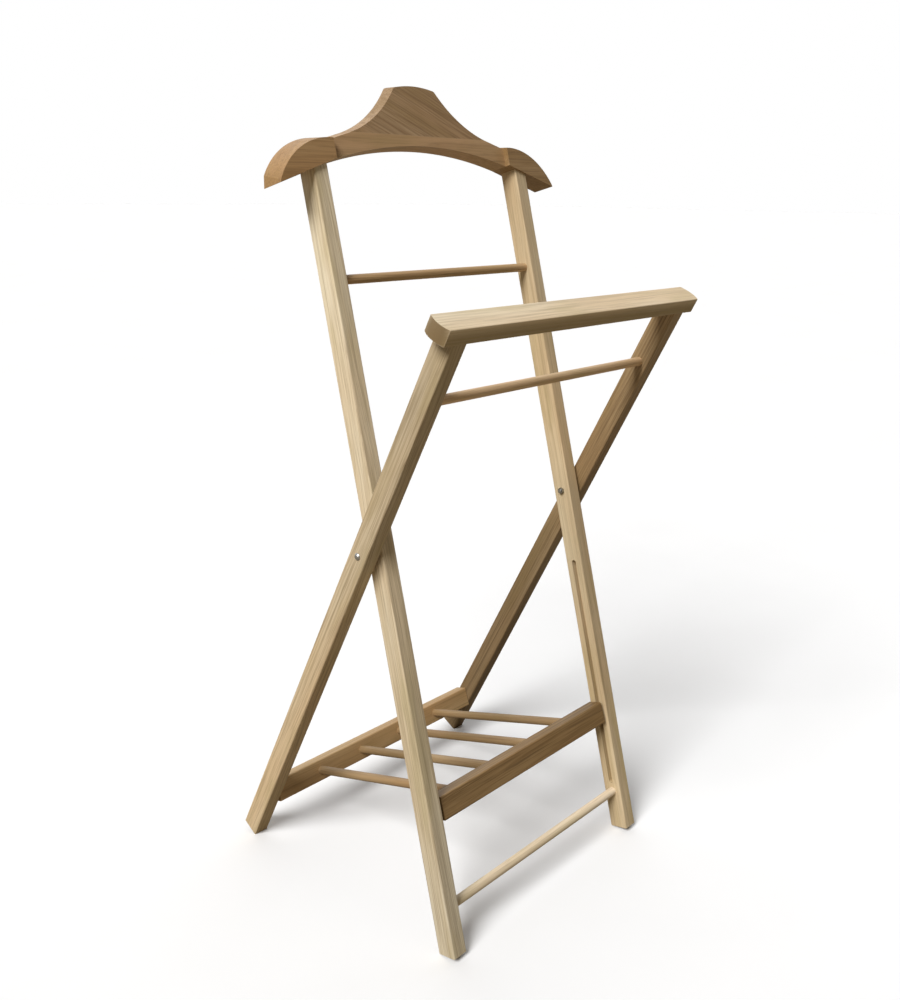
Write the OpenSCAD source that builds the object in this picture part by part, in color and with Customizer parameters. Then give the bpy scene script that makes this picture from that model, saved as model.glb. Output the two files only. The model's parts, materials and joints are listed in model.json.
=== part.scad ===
// Folding valet stand. A tall frame carries a coat hanger and leans back; a short frame carries a
// trouser bar and leans forward. They cross on a pair of bolts, and a shoe rack of round bars ties
// their lower ends: its rear rail turns between the short legs, and its front rail rides on two
// pins in blind grooves of the tall legs. Origin: on the floor, centred on the stand; front is -Y.

/* [Overall] */
// Height of the crossing bolts above the floor
pivot_h = 499.3; // [430:0.1:600]
// Clear width between the tall legs
inner_w = 344; // [300:1:420]
// Lean of the tall frame to the rear, in degrees
tall_lean = 14.7; // [13:0.1:18]
// Lean of the short frame to the front, in degrees
short_lean = 27.1; // [24:0.1:31]

/* [Legs] */
// Width of a leg, across the stand
leg_w = 22; // [18:0.5:28]
// Depth of a leg, front to back
leg_d = 28; // [24:0.5:36]
// Radius to which the long edges of legs and rack rails are eased
ease_r = 2; // [0.5:0.1:4]
// Gap between a tall leg and the short leg beside it
leg_gap = 4.8; // [2:0.1:8]
// Diameter of the round cross bars
bar_d = 12; // [8:0.5:16]
// Depth to which a round cross bar is let into a leg
bar_seat = 14; // [8:0.5:17]
// Height of the tall frame's upper cross bar over the bolts, along the leg
tall_bar_up = 331; // [280:1:400]
// Depth of the tall frame's lower cross bar under the bolts, along the leg
tall_bar_down = 457; // [380:1:470]
// Height of the short frame's cross bar over the bolts, along the leg
short_bar_up = 227; // [180:1:275]

/* [Hanger] */
// Height of the hanger's glue line over the bolts, along the tall leg
hanger_up = 511.5; // [440:0.5:620]
// Thickness of the neck block
neck_t = 18.5; // [14:0.5:24]
// Step from a shoulder block's front face back to the board's
board_step = 8; // [4:0.1:9]
// Height of the arched board at its middle
board_mid_h = 13.5; // [10:0.5:20]
// Height of the arched board at its ends
board_end_h = 25; // [22:0.5:34]
// Fall of the board's top edge from the glue line to its ends
board_fall = 11; // [6:0.5:16]
// Width of the neck at the glue line
neck_foot_w = 242; // [200:1:250]
// Width of the neck across its top
neck_top_w = 73; // [50:1:100]
// Height of the neck's top corners over the glue line
neck_h = 61.5; // [45:0.5:85]
// Rise of the crown between the neck's top corners
neck_crown = 4; // [2:0.5:8]
// Radius that rounds the neck's top corners
neck_corner_r = 6; // [2:0.5:8]
// Radius of the neck's hollow flanks
neck_flank_r = 172.5; // [120:0.5:260]
// Thickness of a shoulder block
shoulder_t = 34.6; // [30:0.1:44]
// Reach of a shoulder block inside the tall leg
shoulder_in = 14; // [8:0.5:20]
// Reach of a shoulder block outside the tall leg
shoulder_out = 53; // [35:1:70]
// Downward pitch of a shoulder block's underside, in degrees
shoulder_pitch = 18.6; // [14:0.1:22]
// Height of a shoulder block's tip
shoulder_tip_h = 1.5; // [1:0.5:8]
// Inward lean of a shoulder block's end, in degrees
shoulder_end_lean = 10; // [0:1:15]

/* [Trouser bar] */
// Height of the trouser bar's underside over the bolts, along the short leg
rail_up = 313.3; // [290:0.1:380]
// Thickness of the trouser bar
rail_t = 20.5; // [18:0.5:28]
// Width of the trouser bar, front to back
rail_w = 32; // [28:0.5:42]
// Overhang of the trouser bar past the short leg
rail_overhang = 19.7; // [10:0.1:30]
// Depth of the bow across each end of the trouser bar
rail_bow = 4.5; // [1:0.5:8]
// Radius to which the trouser bar's long edges are eased
rail_ease_r = 1.2; // [0.5:0.1:3]

/* [Shoe rack] */
// Distance of the front pins under the bolts, along the tall leg
pin_down = 334; // [300:0.5:345]
// Distance of the rear pivots under the bolts, along the short leg
rack_pivot_down = 479.3; // [450:0.1:510]
// Thickness of a rack rail, front to back
rack_rail_t = 22; // [20:0.5:28]
// Height of a rack rail
rack_rail_h = 30.5; // [24:0.5:38]
// Spacing of the rack's round bars
rack_pitch = 80; // [50:0.5:82]
// Depth to which a rack bar is let into a rail
rack_bar_seat = 13; // [8:0.5:16]
// Diameter of the rear pivot pins
rear_pin_d = 8; // [6:0.5:12]
// Length of the rear pivot pins
rear_pin_len = 48; // [24:1:60]
// Depth of the pins' sockets in the short legs
rear_socket = 12; // [6:0.5:16]

/* [Grooves] */
// Width of the groove in a tall leg
groove_w = 7; // [6.6:0.1:10]
// Depth of the groove in a tall leg
groove_depth = 8; // [5:0.5:11]
// Distance of the groove's upper end under the bolts
groove_from = 105; // [60:1:150]
// Distance of the groove's lower end under the bolts
groove_to = 445; // [380:1:446]
// Diameter of the pins that slide in the grooves
pin_d = 6; // [4:0.1:6.4]
// Depth to which those pins sit in the rack's front rail
pin_seat = 28; // [15:1:40]

/* [Hardware and joinery] */
// Diameter of the crossing bolts
bolt_d = 5; // [4:0.5:8]
// Diameter of a bolt's domed head
bolt_head_d = 9.5; // [9:0.1:16]
// Height of a bolt's domed head
bolt_head_h = 2.8; // [2:0.1:5]
// Width of a nut across its flats
nut_flats = 8; // [7:0.5:13]
// Thickness of a nut
nut_t = 4; // [3:0.1:7]
// Outer diameter of the spacer between two legs
spacer_d = 12; // [10:0.5:20]
// Diameter of the hidden dowels in the leg tops
dowel_d = 8; // [5:0.5:10]
// Length of the hidden dowels in the leg tops
dowel_len = 36; // [20:1:38]
// Diameter of the hidden dowels in the shoulder joints
small_dowel_d = 6; // [4:0.5:6.5]
// Length of the hidden dowels in the shoulder joints
small_dowel_len = 28; // [16:1:34]

/* [Clearances] */
// Radial gap around glued dowels and bars
glue_gap = 0.05; // [0.02:0.01:0.1]
// Radial gap around pins and bolts that turn
turn_gap = 0.08; // [0.04:0.01:0.1]
// Gap between flat faces that slide past each other
side_gap = 0.3; // [0.2:0.05:0.6]
// Gap between the end of a dowel or pin and the floor of its hole
end_gap = 0.5; // [0.3:0.1:1]
// Gap between the rack's front rail and a tall leg
rack_gap_front = 5; // [3:0.5:8]
// Gap between the rack's rear rail and a short leg
rack_gap_rear = 0.8; // [0.6:0.1:2]

/* [Hidden] */
$fn = 96;

// Number of round bars in the rack, one node each
rack_bars = 4;

// Planes across the stand, measured from its middle
tall_in_x = inner_w / 2;
tall_mid_x = tall_in_x + leg_w / 2;
tall_out_x = tall_in_x + leg_w;
short_in_x = tall_out_x + leg_gap;
short_mid_x = short_in_x + leg_w / 2;
short_out_x = short_in_x + leg_w;

// Length of a leg from the bolts down to its foot, cut square and standing on one edge
function leg_drop(lean) = (pivot_h - leg_d / 2 * sin(lean)) / cos(lean);
tall_drop = leg_drop(tall_lean);
short_drop = leg_drop(short_lean);

// How far a point of each frame lies behind the bolts: y across the leg, z along it
function tall_back(y, z) = y * cos(tall_lean) + z * sin(tall_lean);
function short_back(y, z) = y * cos(short_lean) - z * sin(short_lean);

// Hanger: the arched board's underside and the shoulder blocks' undersides meet at its ends
board_half_w = tall_in_x - shoulder_in;
board_end_z = hanger_up - board_fall - board_end_h;
arch_rise = board_fall + board_end_h - board_mid_h;
arch_r = (board_half_w * board_half_w + arch_rise * arch_rise) / (2 * arch_rise);
crown_r = (neck_top_w * neck_top_w / 4 + neck_crown * neck_crown) / (2 * neck_crown);
shoulder_len = shoulder_in + leg_w + shoulder_out;
face_y = board_step - shoulder_t / 2;
board_rear_y = shoulder_t / 2;
neck_rear_y = face_y + neck_t;
shoulder_fall = shoulder_len * tan(shoulder_pitch);
shoulder_crest_x = 4;
shoulder_run = shoulder_len - shoulder_crest_x;
shoulder_dip = (board_end_h + shoulder_fall - shoulder_tip_h) * cos(tall_lean);
shoulder_r = (shoulder_run * shoulder_run + shoulder_dip * shoulder_dip) / (2 * shoulder_dip);
function underside_z(x) = board_end_z - (x - board_half_w) * tan(shoulder_pitch);

// The hanger's upper surfaces are level from front to rear. Their outline is drawn upright, so
// heights measured along the leaning front face shrink by this much
upright = cos(tall_lean);
neck_rise = neck_h * upright;

// Centre of the circle that hollows the neck's flank, through its foot and its top corner
flank_dx = (neck_foot_w - neck_top_w) / 2;
flank_half = sqrt(flank_dx * flank_dx + neck_rise * neck_rise) / 2;
flank_off = sqrt(neck_flank_r * neck_flank_r - flank_half * flank_half);
flank_x = (neck_foot_w + neck_top_w) / 4 + flank_off * neck_rise / (2 * flank_half);
flank_z = neck_rise / 2 + flank_off * flank_dx / (2 * flank_half);
function flank_at(x) = flank_z - sqrt(neck_flank_r * neck_flank_r - (flank_x - x) * (flank_x - x));

// From here out, the board's top edge runs straight down to its end
straight_x = neck_foot_w / 2 + (board_half_w - neck_foot_w / 2) * 0.3;
straight_slope = (board_fall * upright + flank_at(straight_x)) / (board_half_w - straight_x);

// A rounding arc is this much larger than a tangent one, so that it crosses its neighbours cleanly
corner_lap = 0.02;

// Centre of the arc that rounds a top corner: inside the crown's circle and outside the flank's
crown_z = neck_rise + neck_crown - crown_r;
crown_in = crown_r - neck_corner_r;
flank_out = neck_flank_r + neck_corner_r;
centres = norm([flank_x, flank_z - crown_z]);
corner_along = (crown_in * crown_in - flank_out * flank_out + centres * centres) / (2 * centres);
corner_aside = sqrt(crown_in * crown_in - corner_along * corner_along);
flank_dir = [flank_x, flank_z - crown_z] / centres;
corner = [0, crown_z] + corner_along * flank_dir + corner_aside * [-flank_dir[1], flank_dir[0]];
to_crown = (corner - [0, crown_z]) / crown_in;
to_flank = ([flank_x, flank_z] - corner) / flank_out;

// Heights of the two hidden dowels over the underside, in each shoulder joint
shoulder_dowel_z = [board_end_h * 0.38, board_end_h * 0.72];
leg_dowel_up = min(dowel_len / 2, board_end_h * 0.7);

// Trouser bar and its dowels
rail_len = 2 * (short_out_x + rail_overhang);
rail_end_r = (rail_w * rail_w / 4 + rail_bow * rail_bow) / (2 * rail_bow);
rail_dowel_up = rail_t * 0.65;
rail_dowel_y = leg_d / 4;

// Rack: from the pins in the tall legs to the pivots in the short legs
rack_dy = short_back(0, -rack_pivot_down) - tall_back(0, -pin_down);
rack_dz = rack_pivot_down * cos(short_lean) - pin_down * cos(tall_lean);
rack_len = sqrt(rack_dy * rack_dy + rack_dz * rack_dz);
rack_slope = atan2(rack_dz, rack_dy);
front_rail_len = inner_w - 2 * rack_gap_front;
rear_rail_len = 2 * (short_in_x - rack_gap_rear);
rack_bar_len = rack_len - rack_rail_t + 2 * rack_bar_seat;
pin_len = pin_seat + rack_gap_front + groove_depth - end_gap;

// Place of the bolts between the front and the back, so that the stand is centred on the origin
front_y = min(short_back(-rail_w / 2, rail_up + rail_t), tall_back(-leg_d / 2, -tall_drop));
rear_y = max(short_back(leg_d / 2, -short_drop), tall_back(neck_rear_y, hanger_up + neck_h));
pivot_y = -(front_y + rear_y) / 2;

// Frames of reference: z runs up the leg and y to the rear, from the bolts
module in_tall() {
    translate([0, pivot_y, pivot_h]) rotate([-tall_lean, 0, 0]) children();
}

module in_short() {
    translate([0, pivot_y, pivot_h]) rotate([short_lean, 0, 0]) children();
}

// The rack's frame: y runs from the front pins to the rear pivots
module in_rack() {
    in_tall() translate([0, 0, -pin_down]) rotate([tall_lean - rack_slope, 0, 0]) children();
}

module both_sides() {
    for (m = [0, 1]) mirror([m, 0, 0]) children();
}

// An outline drawn in x and z, given a thickness about the middle of the depth
module slab(t) {
    rotate([90, 0, 0]) linear_extrude(t, center = true) children();
}

// An outline of the hanger's upper surfaces, drawn upright with its zero at the height z of the
// leaning face at y, and cut level from front to rear
module level_cut(y, z) {
    translate([0, y, z]) rotate([90 + tall_lean, 0, 0]) linear_extrude(4 * shoulder_t, center = true)
        children();
}

// The cross-section of a sawn batten with its four edges eased
module eased(w, d, r) {
    difference() {
        square([w, d], center = true);
        for (i = [0, 1], j = [0, 1]) mirror([i, 0]) mirror([0, j]) translate([w / 2 - r, d / 2 - r])
            difference() {
                square(2 * r);
                circle(r + corner_lap);
            }
    }
}

// A batten across the stand, centred on x
module batten_across(len, h, d, r) {
    rotate([0, 90, 0]) linear_extrude(len, center = true) eased(h, d, r);
}

// A round bar across the stand, centred on x
module across(d, len, x = 0, z = 0) {
    translate([x, 0, z]) rotate([0, 90, 0]) cylinder(d = d, h = len, center = true);
}

// A blind hole that opens in a face at x and runs outwards
module blind_out(d, depth, x, z) {
    across(d, 2 * depth, x, z);
}

/* Tall frame */

module groove() {
    translate([tall_in_x, 0, 0]) rotate([90, 0, 90]) linear_extrude(2 * groove_depth, center = true) {
        translate([0, -(groove_from + groove_to) / 2])
            square([groove_w, groove_to - groove_from - groove_w], center = true);
        for (z = [groove_from + groove_w / 2, groove_to - groove_w / 2])
            translate([0, -z]) circle(d = groove_w);
    }
}

module leg_top_bore() {
    translate([tall_mid_x, 0, underside_z(tall_mid_x) + leg_dowel_up + end_gap - dowel_len - 2 * end_gap])
        cylinder(d = dowel_d + 2 * glue_gap, h = dowel_len + 2 * end_gap);
}

module tall_leg() {
    color("tan") in_tall() difference() {
        intersection() {
            translate([tall_mid_x, 0, -tall_drop]) linear_extrude(tall_drop + hanger_up)
                eased(leg_w, leg_d, ease_r);
            slab(2 * leg_d) polygon([
                [tall_in_x - 1, -tall_drop - 1],
                [tall_out_x + 1, -tall_drop - 1],
                [tall_out_x + 1, underside_z(tall_out_x + 1)],
                [tall_in_x - 1, underside_z(tall_in_x - 1)]
            ]);
        }
        for (z = [tall_bar_up, -tall_bar_down])
            blind_out(bar_d + 2 * glue_gap, bar_seat + end_gap, tall_in_x, z);
        across(bolt_d + 2 * glue_gap, 3 * leg_w, tall_mid_x);
        groove();
        leg_top_bore();
    }
}

module tall_leg_left() {
    mirror([1, 0, 0]) tall_leg();
}

module tall_leg_right() {
    tall_leg();
}

module tall_upper_bar() {
    color("peru") in_tall() across(bar_d, inner_w + 2 * bar_seat, 0, tall_bar_up);
}

module tall_lower_bar() {
    color("peru") in_tall() across(bar_d, inner_w + 2 * bar_seat, 0, -tall_bar_down);
}

module shoulder_dowel(d, len) {
    for (z = shoulder_dowel_z) across(d, len, board_half_w, board_end_z + z);
}

// The top outline of board and neck, with its zero on the glue line
module crest() {
    difference() {
        translate([-board_half_w, -2 * board_end_h])
            square([2 * board_half_w, 2 * board_end_h + 2 * neck_h]);
        crown_cut();
        both_sides() translate([flank_x, flank_z]) circle(neck_flank_r, $fn = 360);
        both_sides() neck_corner_cut();
        both_sides() board_end_cut();
    }
}

// What lies over the neck's crown
module crown_cut() {
    difference() {
        translate([-neck_foot_w / 2, neck_rise / 2]) square([neck_foot_w, 2 * neck_h]);
        translate([0, crown_z]) circle(crown_r, $fn = 360);
    }
}

// What rounds a top corner: the wedge between the lines from the arc's centre to its tangent
// points, without the arc's own disc
module neck_corner_cut() {
    reach = 4 * neck_corner_r;
    difference() {
        polygon([
            corner,
            corner + reach * to_crown,
            corner + 2 * reach * (to_crown + to_flank),
            corner + reach * to_flank
        ]);
        translate(corner) circle(neck_corner_r + corner_lap);
    }
}

// What lies over the straight fall of the board's top edge; its inner end is inside the flank's disc
module board_end_cut() {
    inner = (neck_foot_w / 2 + straight_x) / 2;
    outer = board_half_w + 1;
    polygon([
        [inner, flank_at(straight_x) - straight_slope * (inner - straight_x)],
        [outer, flank_at(straight_x) - straight_slope * (outer - straight_x)],
        [outer, neck_rise],
        [inner, neck_rise]
    ]);
}

// Slopes the board's rear down from the neck's rear face
module rear_slope_cut() {
    ledge = board_rear_y - neck_rear_y;
    rotate([90, 0, 90]) linear_extrude(2 * board_half_w + 2, center = true) polygon([
        [neck_rear_y - 1, hanger_up + 1],
        [board_rear_y + 1, hanger_up - ledge - 1],
        [board_rear_y + 1, hanger_up + 1]
    ]);
}

module hanger_arch_board() {
    color("sienna") in_tall() difference() {
        intersection() {
            translate([0, (face_y + board_rear_y) / 2, 0]) slab(board_rear_y - face_y) difference() {
                translate([-board_half_w, board_end_z])
                    square([2 * board_half_w, hanger_up - board_end_z]);
                translate([0, hanger_up - board_mid_h - arch_r]) circle(arch_r, $fn = 360);
            }
            level_cut(face_y, hanger_up) crest();
        }
        rear_slope_cut();
        both_sides() shoulder_dowel(small_dowel_d + 2 * glue_gap, small_dowel_len + 2 * end_gap);
    }
}

module hanger_neck_block() {
    color("sienna") in_tall() intersection() {
        translate([0, face_y + neck_t / 2, hanger_up]) slab(neck_t)
            translate([-board_half_w, 0]) square([2 * board_half_w, 2 * neck_h]);
        level_cut(face_y, hanger_up) crest();
    }
}

module shoulder_block() {
    color("chocolate") in_tall() difference() {
        intersection() {
            slab(shoulder_t) translate([board_half_w, board_end_z]) polygon([
                [0, 0],
                [shoulder_len, -shoulder_fall],
                [shoulder_len - (2 * board_end_h + shoulder_fall) * tan(shoulder_end_lean), 2 * board_end_h],
                [0, 2 * board_end_h]
            ]);
            level_cut(-shoulder_t / 2, board_end_z + board_end_h)
                translate([board_half_w + shoulder_crest_x, -shoulder_r]) circle(shoulder_r, $fn = 360);
        }
        shoulder_dowel(small_dowel_d + 2 * glue_gap, small_dowel_len + 2 * end_gap);
        leg_top_bore();
    }
}

module shoulder_block_left() {
    mirror([1, 0, 0]) shoulder_block();
}

module shoulder_block_right() {
    shoulder_block();
}

module shoulder_dowels() {
    color("wheat") in_tall() both_sides() shoulder_dowel(small_dowel_d, small_dowel_len);
}

module leg_top_dowels() {
    color("wheat") in_tall() both_sides()
        translate([tall_mid_x, 0, underside_z(tall_mid_x) + leg_dowel_up - dowel_len])
            cylinder(d = dowel_d, h = dowel_len);
}

/* Crossing bolts, fixed in the tall legs; the short legs turn on them */

bolt_head_x = short_out_x + side_gap;
bolt_end_x = tall_in_x - nut_t - 1;
bolt_dome_r = (bolt_head_d * bolt_head_d / 4 + bolt_head_h * bolt_head_h) / (2 * bolt_head_h);

module bolt() {
    across(bolt_d, bolt_head_x - bolt_end_x, (bolt_head_x + bolt_end_x) / 2);
    translate([bolt_head_x, 0, 0]) rotate([0, 90, 0]) rotate_extrude() intersection() {
        translate([0, bolt_head_h - bolt_dome_r]) circle(bolt_dome_r);
        square([bolt_head_d / 2, bolt_head_h]);
    }
}

module crossing_bolts() {
    color("silver") in_tall() both_sides() bolt();
}

module nut() {
    translate([tall_in_x - nut_t, 0, 0]) rotate([0, 90, 0]) difference() {
        cylinder(d = nut_flats / cos(30), h = nut_t, $fn = 6);
        translate([0, 0, -1]) cylinder(d = bolt_d + 2 * glue_gap, h = nut_t + 2);
    }
}

module crossing_nuts() {
    color("silver") in_tall() both_sides() nut();
}

module spacer() {
    translate([tall_out_x, 0, 0]) rotate([0, 90, 0]) difference() {
        cylinder(d = spacer_d, h = leg_gap - side_gap);
        translate([0, 0, -1]) cylinder(d = bolt_d + 2 * glue_gap, h = leg_gap + 2);
    }
}

module crossing_spacers() {
    color("dimgray") in_tall() both_sides() spacer();
}

/* Short frame */

module rail_bores(d, top_gap) {
    for (y = [-rail_dowel_y, rail_dowel_y])
        translate([short_mid_x, y, rail_up + rail_dowel_up - dowel_len - top_gap])
            cylinder(d = d, h = dowel_len + 2 * top_gap);
}

module short_leg() {
    color("burlywood") in_short() difference() {
        translate([short_mid_x, 0, -short_drop]) linear_extrude(short_drop + rail_up)
            eased(leg_w, leg_d, ease_r);
        blind_out(bar_d + 2 * glue_gap, bar_seat + end_gap, short_in_x, short_bar_up);
        blind_out(rear_pin_d + 2 * turn_gap, rear_socket, short_in_x, -rack_pivot_down);
        across(bolt_d + 2 * turn_gap, 3 * leg_w, short_mid_x);
        rail_bores(dowel_d + 2 * glue_gap, end_gap);
    }
}

module short_leg_left() {
    mirror([1, 0, 0]) short_leg();
}

module short_leg_right() {
    short_leg();
}

module short_cross_bar() {
    color("peru") in_short() across(bar_d, 2 * (short_in_x + bar_seat), 0, short_bar_up);
}

// Plan of the trouser bar, with a shallow outward bow across each end
module rail_plan() {
    square([rail_len - 2 * rail_bow, rail_w], center = true);
    both_sides() intersection() {
        translate([rail_len / 2 - rail_end_r, 0]) circle(rail_end_r);
        translate([rail_len / 2 - rail_bow, 0]) square([2 * rail_bow, rail_w], center = true);
    }
}

module trouser_bar() {
    color("wheat") in_short() difference() {
        translate([0, 0, rail_up]) intersection() {
            linear_extrude(rail_t) rail_plan();
            translate([0, 0, rail_t / 2]) batten_across(rail_len + 2, rail_t, rail_w, rail_ease_r);
        }
        both_sides() rail_bores(dowel_d + 2 * glue_gap, end_gap);
    }
}

module trouser_bar_dowels() {
    color("wheat") in_short() both_sides() rail_bores(dowel_d, 0);
}

/* Shoe rack */

// Pins that slide in the grooves of the tall legs, and on which the rack's front rail turns
module groove_pins() {
    color("silver") in_tall() both_sides()
        across(pin_d, pin_len, tall_in_x + groove_depth - end_gap - pin_len / 2, -pin_down);
}

module rack_bar_x(i) {
    translate([(i - (rack_bars - 1) / 2) * rack_pitch, 0, 0]) children();
}

module rack_bar_line(d, extra) {
    translate([0, rack_rail_t / 2 - rack_bar_seat - extra, 0]) rotate([-90, 0, 0])
        cylinder(d = d, h = rack_bar_len + 2 * extra);
}

module rack_rail(len, y) {
    translate([0, y, 0]) batten_across(len, rack_rail_h, rack_rail_t, ease_r);
}

module rack_bar_bores() {
    for (i = [0 : rack_bars - 1]) rack_bar_x(i) rack_bar_line(bar_d + 2 * glue_gap, end_gap);
}

module rack_front_rail() {
    color("peru") in_rack() difference() {
        rack_rail(front_rail_len, 0);
        rack_bar_bores();
        both_sides() across(pin_d + 2 * turn_gap, 2 * (pin_seat + end_gap), front_rail_len / 2);
    }
}

module rack_rear_rail() {
    color("burlywood") in_rack() difference() {
        rack_rail(rear_rail_len, rack_len);
        rack_bar_bores();
        translate([0, rack_len, 0]) both_sides()
            across(rear_pin_d + 2 * glue_gap, 2 * (rear_pin_len + end_gap), rear_rail_len / 2);
    }
}

module rack_bar(i) {
    color("burlywood") in_rack() rack_bar_x(i) rack_bar_line(bar_d, 0);
}

module rack_rear_pins() {
    color("silver") in_rack() translate([0, rack_len, 0]) both_sides()
        across(rear_pin_d, rear_pin_len, rear_rail_len / 2 - rear_pin_len / 2);
}

tall_leg_left();
tall_leg_right();
tall_upper_bar();
tall_lower_bar();
hanger_arch_board();
hanger_neck_block();
shoulder_block_left();
shoulder_block_right();
shoulder_dowels();
leg_top_dowels();
crossing_bolts();
crossing_nuts();
crossing_spacers();
short_leg_left();
short_leg_right();
short_cross_bar();
trouser_bar();
trouser_bar_dowels();
groove_pins();
rack_front_rail();
rack_rear_rail();
rack_bar(0);  // rack_bar_1
rack_bar(1);  // rack_bar_2
rack_bar(2);  // rack_bar_3
rack_bar(3);  // rack_bar_4
rack_rear_pins();
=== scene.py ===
import json
import math

import bpy
from mathutils import Matrix, Vector


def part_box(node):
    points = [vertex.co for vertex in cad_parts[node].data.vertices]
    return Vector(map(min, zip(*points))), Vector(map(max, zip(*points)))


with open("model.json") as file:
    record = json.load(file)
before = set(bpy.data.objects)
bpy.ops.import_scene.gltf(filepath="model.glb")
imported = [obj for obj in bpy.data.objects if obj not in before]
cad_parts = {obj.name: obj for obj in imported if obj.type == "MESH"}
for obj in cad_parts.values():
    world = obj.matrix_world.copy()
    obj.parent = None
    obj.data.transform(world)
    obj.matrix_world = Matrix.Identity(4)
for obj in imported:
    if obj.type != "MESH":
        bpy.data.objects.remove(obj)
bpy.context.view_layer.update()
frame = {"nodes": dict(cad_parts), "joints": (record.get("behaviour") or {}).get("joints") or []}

MM = 0.001
X_AXIS = Vector((1, 0, 0))


def centre(node):
    low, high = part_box(node)
    return (low + high) / 2


def joint(name):
    return next(j for j in frame["joints"] if j["name"] == name)


# Directions of the three frames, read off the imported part. Each basis is (across, through, along).
tall_up = Vector(joint("groove_slide")["axis"]).normalized()
pivot = Vector(joint("fold")["pos_m"])
short_up = (centre("trouser_bar") - pivot).normalized()
rack_back = (centre("rack_rear_rail") - centre("rack_front_rail")).normalized()
rack_up = X_AXIS.cross(rack_back)
TALL = (X_AXIS, tall_up.cross(X_AXIS), tall_up)
SHORT = (X_AXIS, short_up.cross(X_AXIS), short_up)
RACK = (X_AXIS, rack_back, rack_up)


def along_x(basis):
    """The same frame with the grain running across the stand."""
    across, through, along = basis
    return (through, along, across)


def along_y(basis):
    """The same frame with the grain running from front to rear."""
    across, through, along = basis
    return (across, along, through)


def slanted(basis, degrees):
    """The same frame with the grain in its plane, turned from level by an angle."""
    across, through, along = basis
    turn = math.radians(degrees)
    level = across * math.cos(turn) + along * math.sin(turn)
    return (through, through.cross(level), level)


# Shader graphs


class Graph:
    """Adds nodes to a node tree and links them; inputs are numbers, colours or sockets."""

    def __init__(self, tree):
        self.tree = tree
        tree.nodes.clear()

    def add(self, kind, inputs=None, **settings):
        node = self.tree.nodes.new("ShaderNode" + kind)
        for key, value in settings.items():
            setattr(node, key, value)
        for key, value in (inputs or {}).items():
            self.feed(node.inputs[key], value)
        return node

    def feed(self, socket, value):
        if isinstance(value, bpy.types.NodeSocket):
            self.tree.links.new(value, socket)
        else:
            socket.default_value = value

    def math(self, operation, a, b=0.0):
        return self.add("Math", {0: a, 1: b}, operation=operation).outputs[0]

    def plus(self, a, b):
        return self.math("ADD", a, b)

    def times(self, a, b):
        return self.math("MULTIPLY", a, b)

    def swing(self, value, size):
        """A value from 0 to 1 turned into one that swings about zero."""
        return self.times(self.math("SUBTRACT", value, 0.5), size)

    def dot(self, a, b):
        return self.add("VectorMath", {0: a, 1: b}, operation="DOT_PRODUCT").outputs["Value"]

    def stretched(self, vector, factors):
        return self.add("VectorMath", {0: vector, 1: factors}, operation="MULTIPLY").outputs[0]

    def noise(self, vector, scale=1.0, detail=2.0, roughness=0.5, distortion=0.0):
        inputs = {
            "Vector": vector,
            "Scale": scale,
            "Detail": detail,
            "Roughness": roughness,
            "Distortion": distortion,
        }
        return self.add("TexNoise", inputs).outputs["Fac"]

    def noise_along(self, value):
        made = self.add("TexNoise", {"W": value, "Scale": 1.0, "Detail": 2.0}, noise_dimensions="1D")
        return made.outputs["Fac"]

    def span(self, value, low, high, to_low=0.0, to_high=1.0):
        """Smooth step from to_low at low to to_high at high."""
        inputs = {0: value, 1: low, 2: high, 3: to_low, 4: to_high}
        return self.add("MapRange", inputs, interpolation_type="SMOOTHSTEP").outputs[0]

    def mix(self, factor, a, b):
        node = self.add("Mix", {"Factor": factor}, data_type="RGBA")
        for name, value in (("A", a), ("B", b)):
            socket = next(s for s in node.inputs if s.name == name and s.type == "RGBA")
            self.feed(socket, (*value, 1.0) if isinstance(value, tuple) else value)
        return next(s for s in node.outputs if s.type == "RGBA")

    def local(self, basis, place=(0, 0, 0)):
        """Object coordinates turned so that z runs along the grain, in metres, moved by place."""
        here = self.add("TexCoord").outputs["Object"]
        parts = {number: self.dot(here, tuple(axis)) for number, axis in enumerate(basis)}
        turned = self.add("CombineXYZ", parts).outputs[0]
        return self.add("VectorMath", {0: turned, 1: place}, operation="ADD").outputs[0]

    def shader(self, inputs):
        made = self.add("BsdfPrincipled", inputs)
        self.add("OutputMaterial", {"Surface": made.outputs[0]})


def new_material(name):
    material = bpy.data.materials.new(name)
    material.use_nodes = True
    return material, Graph(material.node_tree)


def tinted(tone, factors):
    return tuple(min(1.0, c * f) for c, f in zip(tone, factors))


def darker(tone, factor):
    return tuple(c * factor for c in tone)


# Wood. Noise scales are in features per metre across, through and along the grain.
SWAY = (5, 5, 2.2)
RIPPLE = (45, 45, 9)
UNEVEN = (60, 60, 3)
PORES = (1500, 1500, 45)
FIBRES = (420, 420, 9)
BROAD = (14, 14, 2.6)
PATCHES = (26, 26, 5)
STREAKS = (240, 240, 5)

# How far the rings sway and ripple, how fast their width changes, and by how many widths
RING_SWAY = 22 * MM
RING_RIPPLE = 2.2 * MM
RING_CHANGE = 0.30
RING_GATHER = 4.5
RING_CENTRE_RISE = 0.6

# Late wood starts, is full, and ends at these shares of a ring
LATE_START = 0.35
LATE_FULL = 0.86
LATE_FADES = 0.9
LATE_END = 0.99

# Colours of the wood's parts, and of its painted shade, as factors of its clean tone
DEEP = (0.70, 0.61, 0.50)
PALE = (1.13, 1.14, 1.17)
WARM = (1.03, 0.93, 0.84)
OLIVE = (0.84, 0.80, 0.64)
# Painted shade: the dark colour laid over a piece's lower front
PAINTED_SHADE_TINT = (0.44, 0.37, 0.21)
END_GRAIN = (0.31, 0.245, 0.165)
FIBRE_DARK = 0.74
PORE_DARK = 0.55
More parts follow.
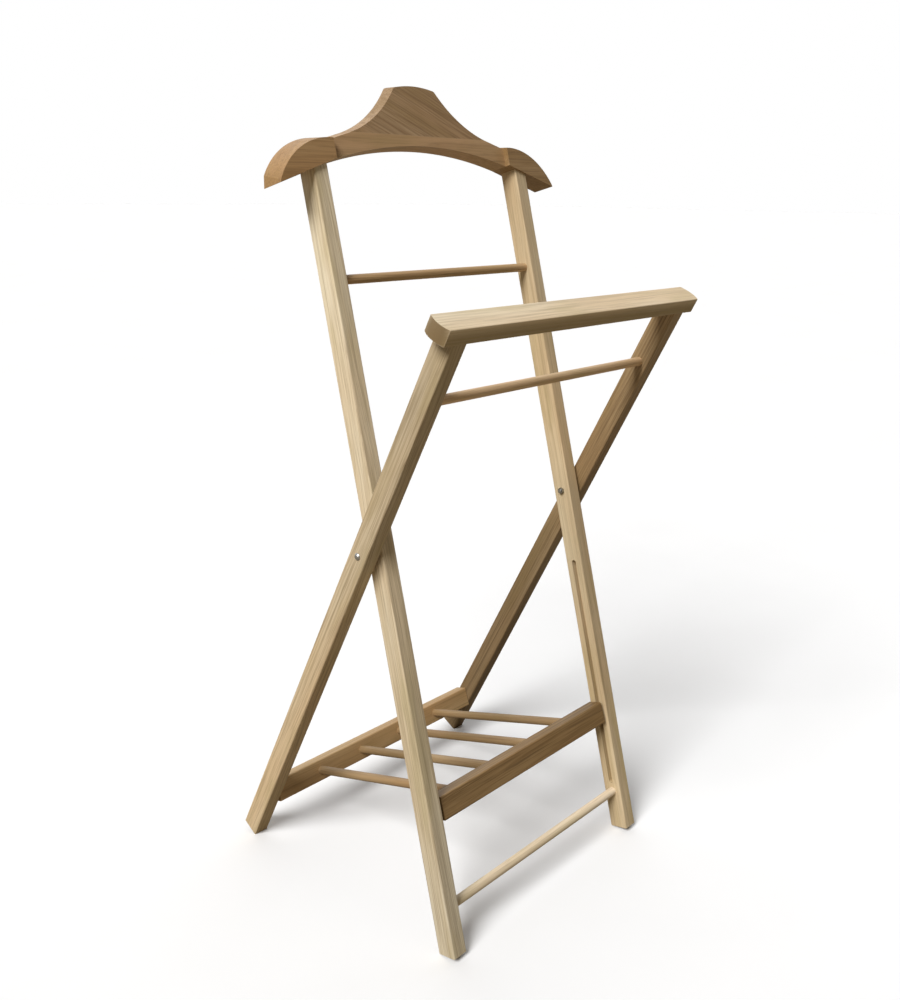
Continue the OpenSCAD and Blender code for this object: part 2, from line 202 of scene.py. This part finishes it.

# Shares of each part's colour, the width of the painted highlight along edges, and the height of the
# surface's relief
LATE_SHARE = 0.62
FIBRE_SHARE = 0.48
PORE_SHARE = 0.6
OLIVE_SHARE = 0.7
# The share of the painted shade where it is darkest
PAINTED_SHADE_SHARE = 0.85
EDGE_HIGHLIGHT_SHARE = 0.55
EDGE_HIGHLIGHT_WIDTH = 1.6 * MM
# How far the edge of the painted shade sways
PAINTED_SHADE_SWAY = 12 * MM
RELIEF = 0.12 * MM
LEG_LENGTH = 0.9


def growth_rings(g, here, seeded, sway, heart, tilt, pitch):
    """Late wood, 0 to 1, in rings of uneven width round a centre line that wanders."""
    run = g.times(here[2], tilt)
    off_x = g.plus(g.plus(here[0], heart[0]), run)
    off_y = g.plus(g.plus(here[1], heart[1]), g.times(run, RING_CENTRE_RISE))
    radius = g.math("SQRT", g.plus(g.times(off_x, off_x), g.times(off_y, off_y)))
    ripple = g.noise(g.stretched(seeded, RIPPLE))
    bent = g.plus(radius, g.swing(sway, RING_SWAY))
    bent = g.plus(bent, g.swing(ripple, RING_RIPPLE))
    growth = g.noise_along(g.times(bent, RING_CHANGE / pitch))
    bent = g.plus(bent, g.times(growth, RING_GATHER * pitch))
    turn = g.math("FRACT", g.math("DIVIDE", bent, pitch))
    late = g.times(g.span(turn, LATE_START, LATE_FULL), g.span(turn, LATE_END, LATE_FADES))
    uneven = g.span(g.noise(g.stretched(seeded, UNEVEN)), 0.35, 0.7, 0.35, 1.0)
    return g.times(late, uneven)


def clean_colour(g, tone, seeded):
    """Broad pale and warm stretches with olive patches."""
    broad = g.noise(g.stretched(seeded, BROAD))
    patches = g.noise(g.stretched(seeded, PATCHES), detail=3.0, roughness=0.6)
    colour = g.mix(g.span(broad, 0.32, 0.68), tinted(tone, PALE), tinted(tone, WARM))
    return g.mix(g.span(patches, 0.46, 0.66, 0.0, OLIVE_SHARE), colour, tinted(tone, OLIVE))


def painted_edge_highlight(g, fibre):
    """1 where an edge gets a painted highlight, 0 on the flats."""
    rounded = g.add("Bevel", {"Radius": EDGE_HIGHLIGHT_WIDTH}, samples=4).outputs[0]
    flat = g.add("NewGeometry").outputs["True Normal"]
    edge = g.span(g.dot(rounded, flat), 0.995, 0.86)
    return g.times(edge, g.span(fibre, 0.3, 0.65, 0.25, 1.0))


def wood(
    name,
    basis,
    tone,
    seed,
    heart=(0.07, 0.045),
    tilt=0.0,
    pitch=3.4 * MM,
    contrast=1.0,
    streaks=0.3,
    end=0.25,
    painted_shade_heights=None,
    painted_light_gradient=None,
):
    """Oiled hardwood with its grain along the basis' last axis.

    tone is the clean wood's linear colour, heart the offset of the growth rings' centre across the
    piece, tilt how fast that centre wanders along it, and pitch the width of a ring. contrast and
    streaks set how much the grain shows, and end how dark the end grain is. The next argument gives
    the heights across the piece where painted shade starts and where it is full, darkening the
    piece's lower front, and the last the brightness factors at a leg's foot and at its head, a
    painted light and shade gradient along the leg.
    """
    material, g = new_material(name)
    seeded = g.local(basis, (seed * 0.37, seed * 0.23, seed * 0.71))
    here = g.add("SeparateXYZ", {0: g.local(basis)}).outputs
    deep = tinted(tone, DEEP)

    sway = g.noise(g.stretched(seeded, SWAY), detail=3.0, roughness=0.55)
    late = growth_rings(g, here, seeded, sway, heart, tilt, pitch)
    fibre = g.noise(g.stretched(seeded, FIBRES), detail=3.0, roughness=0.65)
    pores = g.span(g.noise(g.stretched(seeded, PORES), roughness=0.6), 0.56, 0.74)
    pores = g.times(pores, g.plus(g.times(late, 0.7), 0.3))
    bands = g.noise(g.stretched(seeded, STREAKS), detail=3.0, roughness=0.6, distortion=0.4)

    colour = clean_colour(g, tone, seeded)
    # Painted shade: the piece turns dark below a height, where its front faces down.
    if painted_shade_heights:
        depth = g.plus(here[1], g.swing(sway, PAINTED_SHADE_SWAY))
        share = g.span(depth, *painted_shade_heights, 0.0, PAINTED_SHADE_SHARE)
        colour = g.mix(share, colour, tinted(tone, PAINTED_SHADE_TINT))
    colour = g.mix(g.times(late, LATE_SHARE * contrast), colour, deep)
    fibre_share = g.span(fibre, 0.42, 0.68, 0.0, FIBRE_SHARE * contrast)
    colour = g.mix(fibre_share, colour, darker(deep, FIBRE_DARK))
    colour = g.mix(g.times(pores, PORE_SHARE), colour, darker(deep, PORE_DARK))
    colour = g.mix(g.span(bands, 0.55, 0.68, 0.0, streaks), colour, darker(deep, PORE_DARK))
    # Painted light and shade: the colour is brightened or darkened along a leg, from its foot to its
    # head.
    if painted_light_gradient:
        share = g.span(here[2], 0.0, LEG_LENGTH, *painted_light_gradient)
        colour = g.add("VectorMath", {0: colour, "Scale": share}, operation="SCALE").outputs[0]

    across_grain = g.math("ABSOLUTE", g.dot(g.add("TexCoord").outputs["Normal"], tuple(basis[2])))
    colour = g.mix(g.span(across_grain, 0.75, 0.97, 0.0, end), colour, tinted(tone, END_GRAIN))
    # Painted highlight: a pale colour laid along the edges.
    colour = g.mix(g.times(painted_edge_highlight(g, fibre), EDGE_HIGHLIGHT_SHARE), colour, tinted(tone, PALE))

    rough = g.plus(g.span(fibre, 0.2, 0.8, 0.46, 0.60), g.times(late, -0.07))
    height = g.plus(g.times(pores, -1.0), g.times(fibre, 0.5))
    height = g.plus(height, g.times(late, 0.35))
    bump = g.add("Bump", {"Height": height, "Strength": 0.35, "Distance": RELIEF})
    g.shader(
        {
            "Base Color": colour,
            "Roughness": rough,
            "Specular IOR Level": 0.42,
            "Normal": bump.outputs[0],
        }
    )
    return material


def steel(name, tone, grime):
    """Zinc-plated steel, brushed across the stand, with a dull and slightly blotched skin."""
    material, g = new_material(name)
    here = g.add("TexCoord").outputs["Object"]
    blotch = g.noise(here, 900.0, 4.0, 0.6)
    brushed = g.noise(g.stretched(here, (300, 3500, 3500)))
    colour = g.mix(g.span(blotch, 0.35, 0.7, 0.0, grime), tone, darker(tone, 0.35))
    rough = g.plus(g.span(blotch, 0.3, 0.7, 0.26, 0.42), g.times(brushed, 0.08))
    bump = g.add("Bump", {"Height": brushed, "Strength": 0.25, "Distance": 0.03 * MM})
    g.shader(
        {"Base Color": colour, "Metallic": 1.0, "Roughness": rough, "Normal": bump.outputs[0]}
    )
    return material


def dress(node, material):
    for slot in frame["nodes"][node].material_slots:
        slot.material = material


# Tones of the clean wood and of the steel, linear
BEIGE = (0.70, 0.62, 0.46)
STRAW = (0.62, 0.51, 0.335)
TAN = (0.59, 0.49, 0.335)
# The right short leg's tone, darker than TAN: painted shade.
TAN_PAINTED_SHADE = (0.33, 0.237, 0.13)
CREAM = (0.73, 0.63, 0.46)
NECK = (0.42, 0.285, 0.16)
ARCH = (0.52, 0.365, 0.215)
SHOULDER_LEFT = (0.42, 0.265, 0.125)
# The left shoulder's tone darkened: painted shade on the right shoulder block.
SHOULDER_RIGHT_PAINTED_SHADE = (0.33, 0.21, 0.098)
UPPER_BAR = (0.56, 0.40, 0.23)
HONEY = (0.48, 0.335, 0.175)
RACK_BAR = (0.33, 0.23, 0.122)
RAIL_BROWN = (0.275, 0.18, 0.08)
CROSS_BROWN = (0.76, 0.58, 0.37)
PALE_BAR = (0.80, 0.71, 0.56)
DOWEL = (0.56, 0.43, 0.28)
ZINC_BRIGHT = (0.62, 0.62, 0.61)
ZINC_DULL = (0.40, 0.40, 0.39)

LEVEL_TALL = along_x(TALL)
LEVEL_SHORT = along_x(SHORT)
LEVEL_RACK = along_x(RACK)
NECK_GRAIN_SLOPE = -25


def dress_legs():
    # The brightness factors at the legs' feet and heads below are a painted light and shade
    # gradient.
    tall_left = wood(
        "oiled_tall_left",
        TALL,
        BEIGE,
        seed=1,
        heart=(0.052, 0.061),
        tilt=0.030,
        pitch=3.6 * MM,
        painted_light_gradient=(0.88, 1.14),
    )
    tall_right = wood(
        "oiled_tall_right",
        TALL,
        STRAW,
        seed=2,
        heart=(-0.30, 0.075),
        tilt=0.018,
        pitch=4.2 * MM,
        contrast=0.6,
    )
    short_left = wood(
        "oiled_short_left",
        SHORT,
        TAN,
        seed=3,
        heart=(0.30, 0.020),
        tilt=0.016,
        pitch=3.2 * MM,
        contrast=1.2,
        painted_light_gradient=(1.12, 0.84),
    )
    # The right short leg takes a darker tone than the left's: painted shade.
    short_right = wood(
        "oiled_short_right",
        SHORT,
        TAN_PAINTED_SHADE,
        seed=4,
        heart=(-0.12, 0.030),
        tilt=0.02,
        contrast=1.2,
        streaks=0.5,
        painted_light_gradient=(0.78, 1.22),
    )
    dress("tall_leg_left", tall_left)
    dress("tall_leg_right", tall_right)
    dress("short_leg_left", short_left)
    dress("short_leg_right", short_right)


def dress_bars():
    middle = centre("trouser_bar").dot(short_up)
    trouser_bar = wood(
        "oiled_rail",
        LEVEL_SHORT,
        CREAM,
        seed=5,
        heart=(0.09, -0.27),
        tilt=0.02,
        pitch=4.6 * MM,
        contrast=0.7,
        end=0.95,
        # Painted shade on the bar's lower front
        painted_shade_heights=(middle + 13 * MM, middle - 4 * MM),
    )
    upper_bar = wood("oiled_upper_bar", LEVEL_TALL, UPPER_BAR, seed=6, contrast=1.2, streaks=0.75)
    dress("trouser_bar", trouser_bar)
    dress("tall_upper_bar", upper_bar)
    dress("tall_lower_bar", wood("oiled_lower_bar", LEVEL_TALL, PALE_BAR, seed=7, contrast=0.6))
    dress("short_cross_bar", wood("oiled_cross_bar", LEVEL_SHORT, CROSS_BROWN, seed=8, contrast=0.7))


def dress_hanger():
    arch = wood(
        "oiled_arch",
        LEVEL_TALL,
        ARCH,
        seed=9,
        heart=(0.05, -0.94),
        tilt=0.03,
        pitch=5.0 * MM,
        contrast=0.8,
    )
    neck = wood(
        "oiled_neck",
        slanted(TALL, NECK_GRAIN_SLOPE),
        NECK,
        seed=10,
        heart=(0.02, 0.10),
        tilt=0.05,
        pitch=13.0 * MM,
        contrast=1.2,
    )
    dress("hanger_arch_board", arch)
    dress("hanger_neck_block", neck)
    # The right shoulder block takes the left's tone darkened: painted shade.
    for side, tone, tilt in (("left", SHOULDER_LEFT, 0.02), ("right", SHOULDER_RIGHT_PAINTED_SHADE, -0.02)):
        block = wood(
            "oiled_shoulder_" + side,
            LEVEL_TALL,
            tone,
            seed=11,
            heart=(0.08, -0.90),
            tilt=tilt,
            pitch=4.4 * MM,
            contrast=0.8,
            end=0.0,
        )
        dress("shoulder_block_" + side, block)


def dress_rack():
    front = wood(
        "oiled_front_rail",
        LEVEL_RACK,
        RAIL_BROWN,
        seed=12,
        heart=(0.02, 0.05),
        tilt=0.07,
        pitch=4.6 * MM,
        contrast=1.3,
        streaks=0.6,
    )
    rear = wood(
        "oiled_rear_rail",
        LEVEL_RACK,
        HONEY,
        seed=13,
        heart=(0.10, 0.03),
        tilt=0.02,
        pitch=3.6 * MM,
        contrast=0.6,
    )
    dress("rack_front_rail", front)
    dress("rack_rear_rail", rear)
    for number in range(1, 5):
        bar = wood(f"oiled_rack_bar_{number}", along_y(RACK), RACK_BAR, 13 + number, contrast=0.55)
        dress(f"rack_bar_{number}", bar)


def dress_fasteners():
    dowels = wood("dowel_stock", TALL, DOWEL, seed=20, contrast=0.5)
    for node in ("shoulder_dowels", "leg_top_dowels", "trouser_bar_dowels"):
        dress(node, dowels)
    bright = steel("zinc_bright", ZINC_BRIGHT, grime=0.35)
    for node in ("crossing_bolts", "groove_pins", "rack_rear_pins"):
        dress(node, bright)
    dull = steel("zinc_dull", ZINC_DULL, grime=0.6)
    for node in ("crossing_nuts", "crossing_spacers"):
        dress(node, dull)


# Studio. The floor throws little light back, so that faces turned down stay dark.
FLOOR_SIZE = 120
FLOOR_PALE = (0.905, 0.92, 0.95)
FLOOR_DULL = (0.89, 0.905, 0.935)
FLOOR_BOUNCE = (0.25, 0.21, 0.15)


def make_floor():
    bpy.ops.mesh.primitive_grid_add(x_subdivisions=8, y_subdivisions=8, size=FLOOR_SIZE)
    floor = bpy.context.object
    floor.name = "studio_floor"
    material, g = new_material("pale_floor")
    here = g.add("TexCoord").outputs["Object"]
    mottle = g.span(g.noise(here, 3.0, 3.0), 0.3, 0.7)
    shown = g.mix(mottle, FLOOR_PALE, FLOOR_DULL)
    colour = g.mix(g.add("LightPath").outputs["Is Camera Ray"], FLOOR_BOUNCE, shown)
    g.shader({"Base Color": colour, "Roughness": 0.9})
    floor.data.materials.append(material)


SUN_FROM = Vector((-0.70, -0.13, 0.70))
SUN_STRENGTH = 3.55
SUN_SPREAD = math.radians(28)
SUN_TONE = (1.0, 0.985, 0.96)
ROOM_TONE = (0.10, 0.085, 0.06)
WALL_TONE = (1.0, 1.0, 1.0)
WALL_TOWARDS = (0.716, 0.698, 0.0)


def make_light():
    """A broad soft key from the upper left, a warm dim room in front and a white wall behind."""
    data = bpy.data.lights.new("key", "SUN")
    data.energy = SUN_STRENGTH
    data.angle = SUN_SPREAD
    data.color = SUN_TONE
    key = bpy.data.objects.new("key", data)
    key.rotation_mode = "QUATERNION"
    key.rotation_quaternion = SUN_FROM.to_track_quat("Z", "Y")
    bpy.context.scene.collection.objects.link(key)

    world = bpy.data.worlds.new("studio")
    bpy.context.scene.world = world
    world.use_nodes = True
    g = Graph(world.node_tree)
    depth = g.dot(g.add("TexCoord").outputs["Generated"], WALL_TOWARDS)
    colour = g.mix(g.span(depth, 0.1, 0.65), ROOM_TONE, WALL_TONE)
    ambient = g.add("Background", {"Color": colour})
    g.add("OutputWorld", {"Surface": ambient.outputs[0]})


CAMERA_PLACE = Vector((-0.9425, -0.9051, 0.9242))
CAMERA_AZIMUTH = math.radians(-45.713)
CAMERA_ELEVATION = math.radians(13.003)
CAMERA_ROLL = math.radians(0.626)
CAMERA_LENS = 35.607
CAMERA_SENSOR = 36.0
CAMERA_SHIFT_Y = -0.0789
CAMERA_NEAREST = 0.05


def make_camera():
    data = bpy.data.cameras.new("camera")
    data.sensor_width = CAMERA_SENSOR
    data.lens = CAMERA_LENS
    data.shift_y = CAMERA_SHIFT_Y
    data.clip_start = CAMERA_NEAREST
    camera = bpy.data.objects.new("camera", data)
    side, ahead = math.cos(CAMERA_AZIMUTH), math.sin(CAMERA_AZIMUTH)
    flat, rise = math.cos(CAMERA_ELEVATION), math.sin(CAMERA_ELEVATION)
    back = Vector((ahead * flat, -side * flat, rise))
    right = Vector((side, ahead, 0))
    up = back.cross(right)
    rolled_right = right * math.cos(CAMERA_ROLL) + up * math.sin(CAMERA_ROLL)
    rolled_up = up * math.cos(CAMERA_ROLL) - right * math.sin(CAMERA_ROLL)
    turn = Matrix((rolled_right, rolled_up, back)).transposed().to_4x4()
    camera.matrix_world = Matrix.Translation(CAMERA_PLACE) @ turn
    bpy.context.scene.collection.objects.link(camera)
    bpy.context.scene.camera = camera


make_camera()
dress_legs()
dress_bars()
dress_hanger()
dress_rack()
dress_fasteners()
make_floor()
make_light()
bpy.context.scene.view_settings.view_transform = "Standard"
